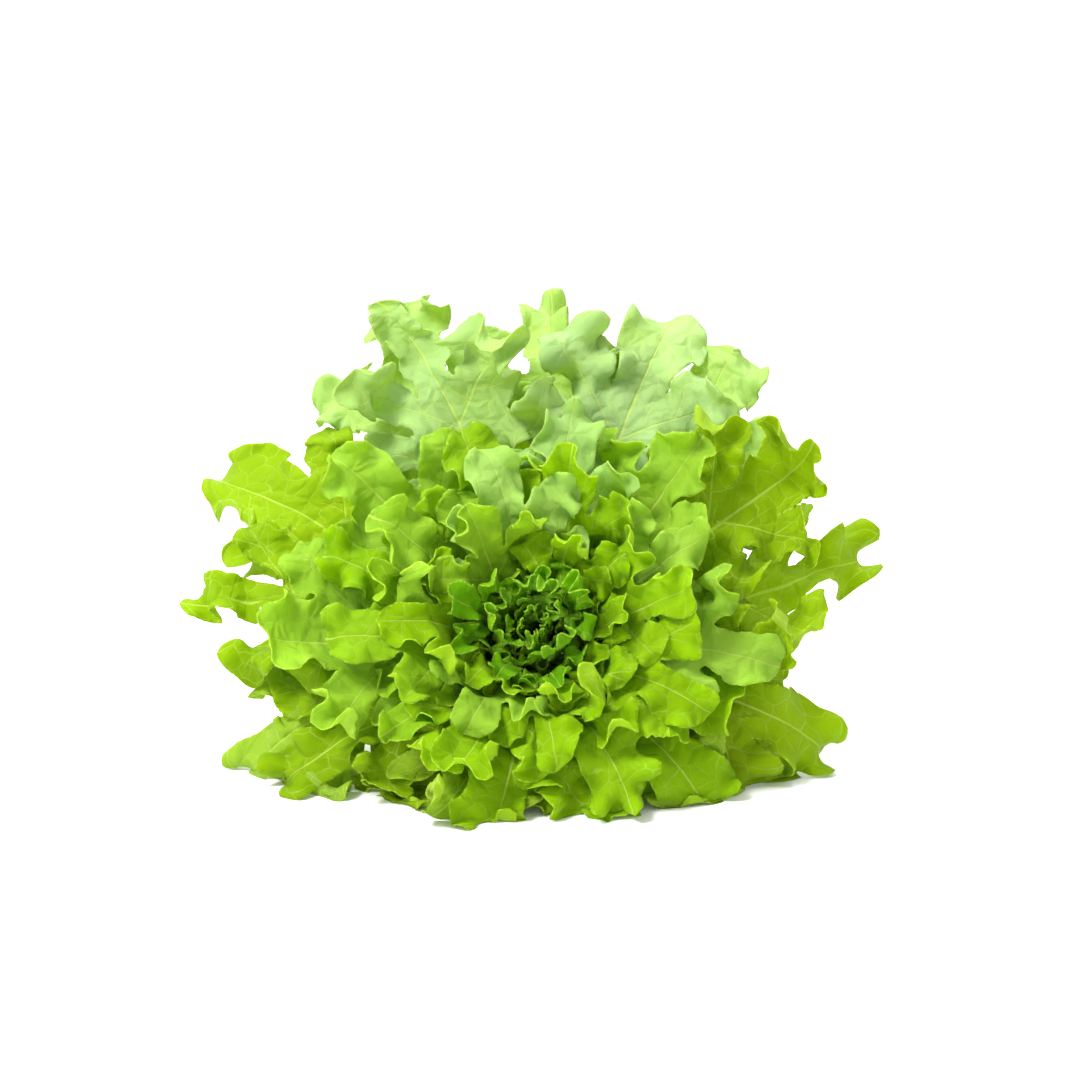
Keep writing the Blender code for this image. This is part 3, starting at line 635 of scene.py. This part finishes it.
def frilled(leaf, flat, points, normals, margin, run, blade, rooms):
    """Ruffle the margin: long frills that lean over, and small crinkles on them."""
    phase = leaf.frill_rng.uniform(0, 2 * np.pi, 6)
    skip = 2
    ends = margin[::skip]
    run = run[::skip]
    squared = squared_distances(flat, ends)
    to_margin = np.sqrt(squared.min(1))
    weight = 1 / (squared + np.float32((2 * MM) ** 2)) ** 2
    weight /= weight.sum(1)[:, None]
    tangent = unit(np.gradient(points[:len(margin)], axis=0))[::skip]
    wave = leaf.frill_wave
    beat = uneven_wave(run, wave, phase[0], 1.3, 0.75 * wave, phase[1])
    size = leaf.frill_height * wave * (0.8 + 0.4 * np.sin(run / (1.7 * wave) + phase[2]))
    near = np.exp(-(to_margin / (0.55 * wave)) ** 2) * blade
    height = near * (weight @ (size * np.sin(beat)).astype(np.float32))
    sway = (-FRILL_SWAY * wave * np.sin(2 * beat))[:, None] * tangent
    sway = near[:, None] * (weight @ sway.astype(np.float32))
    small = 0.36 * wave
    beat = uneven_wave(run, small, phase[3], 1.5, small, phase[4])
    near = np.exp(-(to_margin / (0.6 * small)) ** 2) * blade
    crinkle = leaf.crinkle_height * small * min(small / CRINKLE_WAVE, 1.0) * np.sin(beat)
    height = height + near * (weight @ crinkle.astype(np.float32))
    up, down = (np.maximum(ROOM_SHARE * room - BLADE_THICK, LEAST_ROOM) for room in rooms)
    height = np.where(height > 0, up * np.tanh(height / up), down * np.tanh(height / down))
    free = 0.5 * (np.tanh(up / size.mean()) + np.tanh(down / size.mean()))
    return points + normals * height[:, None] + sway * free[:, None], to_margin


def puckered(leaf, flat, near_vein, blade):
    """Height of the blade between its veins, which lie in shallow grooves on the upper face."""
    x, y = flat[:, 0], flat[:, 1]
    phase = leaf.frill_rng.uniform(0, 2 * np.pi, 4)
    fill = 1 - np.exp(-(near_vein / (3.5 * MM)) ** 2)
    rough = np.sin(x / (2.9 * MM) + phase[0] + 1.5 * np.sin(y / (5.1 * MM) + phase[1]))
    rough = rough * np.sin(y / (2.6 * MM) + phase[2] + 1.5 * np.sin(x / (4.3 * MM) + phase[3]))
    return (PUCKER_HEIGHT + PUCKER_ROUGHNESS * rough) * fill * blade * leaf.scale


def vein_map(flat, faces, vein_rows):
    """At each triangle's corners, how many half widths away its nearest side vein runs."""
    squared = squared_distances(flat, vein_rows)
    nearest = squared.argmin(1)
    distance = np.sqrt(squared.min(1))
    closest = nearest[faces[np.arange(len(faces)), distance[faces].argmin(1)]]
    x, y, ux, uy, width, last = (column[:, None] for column in vein_rows[closest].T)
    dx = flat[faces][..., 0] - x
    dy = flat[faces][..., 1] - y
    away = (dx * uy - dy * ux) / width
    past = (last > 0) & ((dx * ux + dy * uy).mean(1) > 0)[:, None]
    return np.where(past, FAR, away), distance


def border(faces):
    """Directed edges that belong to one triangle only."""
    edges = np.concatenate([faces[:, [0, 1]], faces[:, [1, 2]], faces[:, [2, 0]]])
    size = faces.max() + 1
    forward = edges[:, 0] * size + edges[:, 1]
    backward = edges[:, 1] * size + edges[:, 0]
    return edges[~np.isin(forward, backward)]


def placed_blade(leaf, angles, step, head):
    """One leaf's smooth blade in its place in the head."""
    shape = fine_blade(leaf, angles, step)
    curled = curled_blade(leaf, shape[0])
    points, phi, tau, spacing = place_leaf(leaf, curled, head)
    head.add(curled[1], phi, tau, shape[1])
    return leaf, shape, points, (len(head.layers) - 1, curled[1], phi, tau), spacing


def leaf_mesh_parts(placed, head):
    """One closed leaf, ruffled between its neighbours: its points, upper, lower and rim faces, point
    values, place in the vein pattern, and side veins at the corners of both faces."""
    leaf, (flat, faces, margin, run, vein_rows), points, place, spacing = placed
    rooms = [room * spacing for room in head.rooms(*place)]
    vein, near_vein = vein_map(flat, faces, vein_rows)
    up = flat[:, 1] / leaf.length
    blade = smoothstep((up - 0.14) / 0.2)
    normals = point_normals(points, faces)
    points, to_margin = frilled(leaf, flat, points, normals, margin, run, blade, rooms)
    normals = point_normals(points, faces)
    points = points + normals * puckered(leaf, flat, near_vein, blade)[:, None]
    rib_width = (0.35 + 2.6 * np.clip(0.95 - up, 0, 1) ** 1.6) * MM * leaf.scale
    rib = np.exp(-(flat[:, 0] / (1.3 * rib_width)) ** 2)
    rib_height = MIDRIB_THICK * leaf.scale * np.clip(1 - up, 0, 1) ** 0.8
    thick = BLADE_THICK + rib * rib_height + VEIN_RELIEF * np.exp(-(near_vein / (1.0 * MM)) ** 2) * blade
    thick = np.maximum(thick, FOOT_THICK * (1 - smoothstep(up / 0.22)))
    under = points - normals * thick[:, None]
    count = len(flat)
    here, after = border(faces).T
    rim = np.stack([here, here + count, after + count, after], 1)
    values = {
        "rim": np.tile(to_margin / MM, 2),
        "under": np.repeat([0.0, 1.0], count),
        "tone": np.full(2 * count, leaf.frill_rng.uniform()),
        # painted sheen: how much paler colour stands in for the top light's reflection on this leaf
        "bloom": np.full(2 * count, leaf_painted_sheen(leaf)),
        "midrib": np.tile(flat[:, 0] / rib_width, 2),
    }
    plane = np.tile(flat + np.array([PATTERN_SHIFT * leaf.number, 0.0]), (2, 1))
    unders = faces[:, ::-1] + count
    corner_veins = vein.ravel(), vein[:, ::-1].ravel()
    return np.concatenate([points, under]), faces, unders, rim, values, plane, corner_veins


def leaf_painted_sheen(leaf):
    """Painted sheen: a paler bluish colour standing in for the top light's reflection, strongest on the outer
    leaves at the top of the head, with a random share for each leaf.
    """
    outer = smoothstep((leaf.tau - 0.45) / 0.35) * smoothstep((math.cos(leaf.phi) - 0.5) / 0.45)
    own, share = np.random.default_rng(5000 + leaf.number).uniform((-0.8, 0.5), (0.45, 0.9))
    own += 0.4 * smoothstep((math.cos(leaf.phi) - 0.1) / 0.7)
    return max(share * outer, own * min(leaf.tau / 0.5, 1.0))


def add_leaf_piece(name, parts, shift, material):
    """One closed mesh of one or more leaves, with what its material reads."""
    points, *groups, values, planes, veins = zip(*parts)
    starts = np.cumsum([0] + [len(rows) for rows in points])
    faces = []
    for group in groups:
        for rows, start in zip(group, starts):
            faces += (rows + start).tolist()
    points = soft_floor(np.concatenate(points), PRESSED_FLAT, 0.0)
    mesh = bpy.data.meshes.new(name)
    mesh.from_pydata((points + shift).tolist(), [], faces)
    mesh.polygons.foreach_set("use_smooth", [True] * len(mesh.polygons))
    for key in values[0]:
        layer = mesh.attributes.new(key, "FLOAT", "POINT")
        layer.data.foreach_set("value", np.concatenate([row[key] for row in values]).astype(np.float32))
    corner = np.empty(len(mesh.loops), np.int32)
    mesh.loops.foreach_get("vertex_index", corner)
    add_map(mesh, "leaf_plane", np.concatenate(planes)[corner])
    veins = np.concatenate([rows for side in zip(*veins) for rows in side])
    vein_uv = np.full((len(corner), 2), FAR)
    vein_uv[:len(veins), 0] = veins
    add_map(mesh, "side_vein", vein_uv)
    mesh.materials.append(material)
    obj = bpy.data.objects.new(name, mesh)
    bpy.context.scene.collection.objects.link(obj)
    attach(obj, "root")
    return obj


def add_map(mesh, name, rows):
    layer = mesh.uv_layers.new(name=name)
    layer.data.foreach_set("uv", rows.ravel().astype(np.float32))


def leaf_list():
    """Every leaf from the outermost in, turned by the golden angle where the photo doesn't place it."""
    leaves = []
    for k in range(SEPARATE_LEAVES + HEART_LEAVES):
        rng = np.random.default_rng(2000 + k)
        if k < len(OUTER_LEAVES):
            degrees, length, share, curl = OUTER_LEAVES[k]
            phi = math.radians(degrees)
            length *= MM
        else:
            phi = math.radians(-10) + (k - len(OUTER_LEAVES) + 1) * GOLDEN_ANGLE
            share = rng.uniform(0.61, 0.76)
            curl = rng.normal(0.0, 0.35)
        if k < SEPARATE_LEAVES:
            outness = 1 - k / SEPARATE_LEAVES
            tau = HEART_LAYER + (1 - HEART_LAYER) * outness
            free_length = INNERMOST_LENGTH + LENGTH_GROWTH * outness ** 0.9
        else:
            tau = HEART_LAYER * (1 - (k - SEPARATE_LEAVES + 1) / (HEART_LEAVES + 0.5))
            free_length = HEART_SHORTEST + HEART_GROWTH * tau / HEART_LAYER
        if k >= len(OUTER_LEAVES):
            length = free_length * rng.uniform(0.88, 1.10) * (1 - 0.08 * (0.5 - 0.5 * math.cos(phi)))
        side_lobes = 4 if length > FOUR_LOBES_FROM else 3 if length > THREE_LOBES_FROM else 2
        leaves.append(Leaf(k + 1, tau, phi, length, share, side_lobes, curl))
    return leaves


def leaf_name(number):
    """Plain name by ring and by place in the ring."""
    if number <= len(OUTER_LEAVES):
        return f"outer_leaf_{number:02d}"
    number -= len(OUTER_LEAVES)
    if number <= MIDDLE_LEAVES:
        return f"middle_leaf_{number:02d}"
    return f"inner_leaf_{number - MIDDLE_LEAVES:02d}"


class Nodes:
    """Short words for building a node material."""

    def __init__(self, name):
        self.material = bpy.data.materials.new(name)
        self.material.use_nodes = True
        self.tree = self.material.node_tree
        self.tree.nodes.clear()

    def add(self, kind, **settings):
        node = self.tree.nodes.new(kind)
        for key, value in settings.items():
            setattr(node, key, value)
        return node

    def link(self, source, target):
        self.tree.links.new(source, target)

    def feed(self, socket, value):
        if isinstance(value, bpy.types.NodeSocket):
            self.link(value, socket)
        else:
            socket.default_value = value

    def attribute(self, name):
        return self.add("ShaderNodeAttribute", attribute_name=name).outputs["Fac"]

    def math(self, operation, a, b=0.0):
        node = self.add("ShaderNodeMath", operation=operation)
        self.feed(node.inputs[0], a)
        self.feed(node.inputs[1], b)
        return node.outputs[0]

    def ramp(self, value, low, high, to_low=0.0, to_high=1.0):
        node = self.add("ShaderNodeMapRange", interpolation_type="SMOOTHSTEP")
        self.feed(node.inputs["Value"], value)
        self.feed(node.inputs["From Min"], low)
        self.feed(node.inputs["From Max"], high)
        self.feed(node.inputs["To Min"], to_low)
        self.feed(node.inputs["To Max"], to_high)
        return node.outputs[0]

    def mix(self, factor, a, b):
        node = self.add("ShaderNodeMix", data_type="RGBA")
        self.feed(node.inputs[0], factor)
        self.feed(node.inputs[6], a)
        self.feed(node.inputs[7], b)
        return node.outputs[2]

    def noise(self, vector, scale, detail=2.0):
        node = self.add("ShaderNodeTexNoise")
        self.link(vector, node.inputs["Vector"])
        node.inputs["Scale"].default_value = scale
        node.inputs["Detail"].default_value = detail
        return node.outputs[0]

    def net(self, vector, scale):
        """Distance from the walls of a cell pattern."""
        node = self.add("ShaderNodeTexVoronoi", feature="DISTANCE_TO_EDGE", voronoi_dimensions="2D")
        self.link(vector, node.inputs["Vector"])
        node.inputs["Scale"].default_value = scale
        return node.outputs["Distance"]


def color(r, g, b):
    return (r, g, b, 1.0)


def leaf_material(name, upper, lower, glow, net_strength):
    """Thin living leaf: glossy above, matt and paler below, letting light through round its pale veins."""
    n = Nodes(name)
    plane = n.add("ShaderNodeUVMap", uv_map="leaf_plane").outputs["UV"]
    wander = n.add("ShaderNodeTexNoise")
    n.link(plane, wander.inputs["Vector"])
    wander.inputs["Scale"].default_value = WANDER_SCALE
    offset = n.add("ShaderNodeVectorMath", operation="MULTIPLY_ADD")
    n.link(wander.outputs["Color"], offset.inputs[0])
    offset.inputs[1].default_value = (WANDER_REACH, WANDER_REACH, 0.0)
    n.link(plane, offset.inputs[2])
    cells = n.net(offset.outputs[0], NET_SCALE)
    coarse = n.ramp(cells, 0.0, 0.032, 1.0, 0.0)
    pillow = n.ramp(cells, 0.0, 0.40, 0.0, 1.0)
    fine = n.ramp(n.net(offset.outputs[0], FINE_NET_SCALE), 0.0, 0.07, 1.0, 0.0)
    split = n.add("ShaderNodeSeparateXYZ")
    n.link(n.add("ShaderNodeUVMap", uv_map="side_vein").outputs["UV"], split.inputs[0])
    side = n.ramp(n.math("ABSOLUTE", split.outputs[0]), 0.5, 1.3, 1.0, 0.0)
    rib = n.ramp(n.math("ABSOLUTE", n.attribute("midrib")), 0.5, 1.2, 1.0, 0.0)
    rim = n.attribute("rim")
    under = n.attribute("under")
    bloom = n.attribute("bloom")
    tone = n.attribute("tone")
    lines = n.math("MAXIMUM", n.math("MULTIPLY", side, 0.8), rib)
    veins = n.math("MAXIMUM", lines, n.math("MULTIPLY", coarse, net_strength))
    veins = n.math("MAXIMUM", veins, n.math("MULTIPLY", fine, FINE_NET_STRENGTH))
    # Pale margin line: partly the leaf's own pale edge, partly a painted rim highlight, on both faces and in
    # the light let through
    edge = n.ramp(rim, 0.15, 0.7, 1.0, 0.0)
    patch = n.noise(plane, 42.0, 3.0)
    dark = color(*(0.70 * c for c in upper))
    warm = color(1.4 * upper[0], 1.12 * upper[1], 0.8 * upper[2])
    shade = n.mix(n.math("MULTIPLY", patch, 0.5), color(*upper), dark)
    shade = n.mix(n.math("MULTIPLY", tone, 0.2), shade, warm)
    face = n.mix(under, shade, color(*lower))
    # Painted sheen: a paler bluish colour in noisy patches stands in for the top light's reflection
    pale = n.ramp(n.noise(plane, 26.0, 2.0), 0.35, 0.70, 0.70, 1.0)
    painted_sheen_color = n.mix(n.ramp(bloom, 0.40, 0.85), color(*WEAK_PAINTED_SHEEN_COLOR), color(*STRONG_PAINTED_SHEEN_COLOR))
    face = n.mix(n.math("MULTIPLY", bloom, pale), face, painted_sheen_color)
    vein_color = color(*VEIN_COLOR)
    face = n.mix(n.math("MULTIPLY", veins, VEIN_PALENESS), face, vein_color)
    face = n.mix(n.math("MULTIPLY", edge, MARGIN_PALENESS_AND_HIGHLIGHT), face, vein_color)
    dim = color(*(0.75 * c for c in glow))
    through = n.mix(n.math("MULTIPLY", patch, 0.35), color(*glow), dim)
    through = n.mix(n.math("MULTIPLY", veins, VEIN_LIGHT_THROUGH), through, vein_color)
    through = n.mix(n.math("MULTIPLY", edge, MARGIN_PALENESS_AND_HIGHLIGHT), through, vein_color)
    shader = n.add("ShaderNodeBsdfPrincipled")
    n.link(face, shader.inputs["Base Color"])
    n.link(n.ramp(under, 0.0, 1.0, 0.50, 0.65), shader.inputs["Roughness"])
    shader.inputs["Specular IOR Level"].default_value = 0.15
    shader.inputs["Specular Tint"].default_value = color(*SPECULAR_COLOR)
    shader.inputs["Sheen Weight"].default_value = 0.05
    shader.inputs["Sheen Roughness"].default_value = 0.5
    shader.inputs["Sheen Tint"].default_value = color(*SHEEN_COLOR)
    bump = n.add("ShaderNodeBump")
    bump.inputs["Strength"].default_value = 0.7
    bump.inputs["Distance"].default_value = 0.9 * MM
    height = n.math("ADD", n.math("MULTIPLY", coarse, -0.2), n.math("MULTIPLY", fine, -0.12))
    height = n.math("ADD", n.math("ADD", height, n.math("MULTIPLY", lines, -0.5)), pillow)
    n.link(height, bump.inputs["Height"])
    n.link(bump.outputs[0], shader.inputs["Normal"])
    glow_shader = n.add("ShaderNodeBsdfTranslucent")
    n.link(through, glow_shader.inputs["Color"])
    mixed = n.add("ShaderNodeMixShader")
    mixed.inputs[0].default_value = LIGHT_THROUGH
    n.link(shader.outputs[0], mixed.inputs[1])
    n.link(glow_shader.outputs[0], mixed.inputs[2])
    output = n.add("ShaderNodeOutputMaterial")
    n.link(mixed.outputs[0], output.inputs[0])
    return n.material


def stem_material():
    """Pale stem flesh with faint fine mottling and brown blotches."""
    n = Nodes("stem_flesh")
    place = n.add("ShaderNodeTexCoord").outputs["Object"]
    streak = n.noise(place, 260.0, 3.0)
    blotch = n.noise(place, 60.0, 2.0)
    face = n.mix(streak, color(*STEM_LIGHT_COLOR), color(*STEM_DARK_COLOR))
    face = n.mix(n.ramp(blotch, 0.45, 0.75), face, color(*CUT_COLOR))
    shader = n.add("ShaderNodeBsdfPrincipled")
    n.link(face, shader.inputs["Base Color"])
    shader.inputs["Roughness"].default_value = 0.55
    output = n.add("ShaderNodeOutputMaterial")
    n.link(shader.outputs[0], output.inputs[0])
    return n.material


def plain_material(name, base, roughness):
    n = Nodes(name)
    shader = n.add("ShaderNodeBsdfPrincipled")
    shader.inputs["Base Color"].default_value = base
    shader.inputs["Roughness"].default_value = roughness
    output = n.add("ShaderNodeOutputMaterial")
    n.link(shader.outputs[0], output.inputs[0])
    return n.material


def build_head():
    shift = head_shift()
    outer = leaf_material("outer_leaf", *OUTER_COLORS, 0.70)
    inner = leaf_material("inner_leaf", *INNER_COLORS, 0.50)
    heart = leaf_material("heart_leaf", *HEART_COLORS, 0.20)
    leaves = leaf_list()
    head = PackedHead()
    first, rest = leaves[SEPARATE_LEAVES:][::-1], leaves[:SEPARATE_LEAVES][::-1]
    small = [placed_blade(leaf, HEART_LOBE_ANGLES, HEART_STEP, head) for leaf in first]
    large = [placed_blade(leaf, LOBE_ANGLES, leaf.step, head) for leaf in rest]
    parts = [leaf_mesh_parts(placed, head) for placed in small]
    piece = add_leaf_piece("heart_leaves", parts, shift, heart)
    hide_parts("heart")
    for placed in large:
        name = leaf_name(placed[0].number)
        parts = leaf_mesh_parts(placed, head)
        is_outer = name.startswith("outer")
        piece = add_leaf_piece(f"{name}_blade", [parts], shift, outer if is_outer else inner)
        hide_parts(name)


def finish_stem():
    stem = bpy.data.objects["stem"]
    stem.data.materials.clear()
    stem.data.materials.append(stem_material())


def build_stage():
    """A round white table in an evenly white room that is brighter behind the head."""
    mesh = bpy.data.meshes.new("floor")
    shape = bmesh.new()
    bmesh.ops.create_circle(shape, cap_ends=True, segments=96, radius=FLOOR_RADIUS)
    shape.to_mesh(mesh)
    shape.free()
    mesh.materials.append(plain_material("floor_white", color(*[FLOOR_WHITE] * 3), 0.8))
    floor = bpy.data.objects.new("floor", mesh)
    bpy.context.scene.collection.objects.link(floor)
    world = bpy.data.worlds.new("studio")
    world.use_nodes = True
    tree = world.node_tree
    sky = tree.nodes["Background"]
    sky.inputs[0].default_value = color(1.0, 1.0, 1.0)
    place = tree.nodes.new("ShaderNodeTexCoord")
    split = tree.nodes.new("ShaderNodeSeparateXYZ")
    tree.links.new(place.outputs["Generated"], split.inputs[0])
    front_to_back = tree.nodes.new("ShaderNodeMapRange")
    front_to_back.interpolation_type = "SMOOTHSTEP"
    front_to_back.inputs["From Min"].default_value = -0.7
    front_to_back.inputs["From Max"].default_value = 0.7
    front_to_back.inputs["To Min"].default_value = FRONT_BRIGHTNESS
    front_to_back.inputs["To Max"].default_value = BACK_BRIGHTNESS
    tree.links.new(split.outputs["Y"], front_to_back.inputs["Value"])
    tree.links.new(front_to_back.outputs[0], sky.inputs[1])
    bpy.context.scene.world = world


def add_light(name, place, size, power):
    light = bpy.data.lights.new(name, "AREA")
    light.size = size
    light.energy = power
    obj = bpy.data.objects.new(name, light)
    bpy.context.scene.collection.objects.link(obj)
    obj.location = place
    obj.rotation_mode = "QUATERNION"
    obj.rotation_quaternion = (Vector(LIT_POINT) - Vector(place)).to_track_quat("-Z", "Y")


def add_camera():
    target = Vector(CAMERA_TARGET)
    camera = bpy.data.cameras.new("camera")
    camera.lens = CAMERA_LENS
    camera.sensor_width = CAMERA_SENSOR
    obj = bpy.data.objects.new("camera", camera)
    bpy.context.scene.collection.objects.link(obj)
    away = Vector((0.0, -math.cos(CAMERA_ELEVATION), math.sin(CAMERA_ELEVATION)))
    obj.location = target + CAMERA_DISTANCE * away
    obj.rotation_mode = "QUATERNION"
    obj.rotation_quaternion = (target - obj.location).to_track_quat("-Z", "Y")
    bpy.context.scene.camera = obj


build_head()
finish_stem()
build_stage()
add_light("back_light", *BACK_LIGHT)
add_light("key_light", *KEY_LIGHT)
add_camera()
bpy.context.scene.view_settings.view_transform = "Standard"
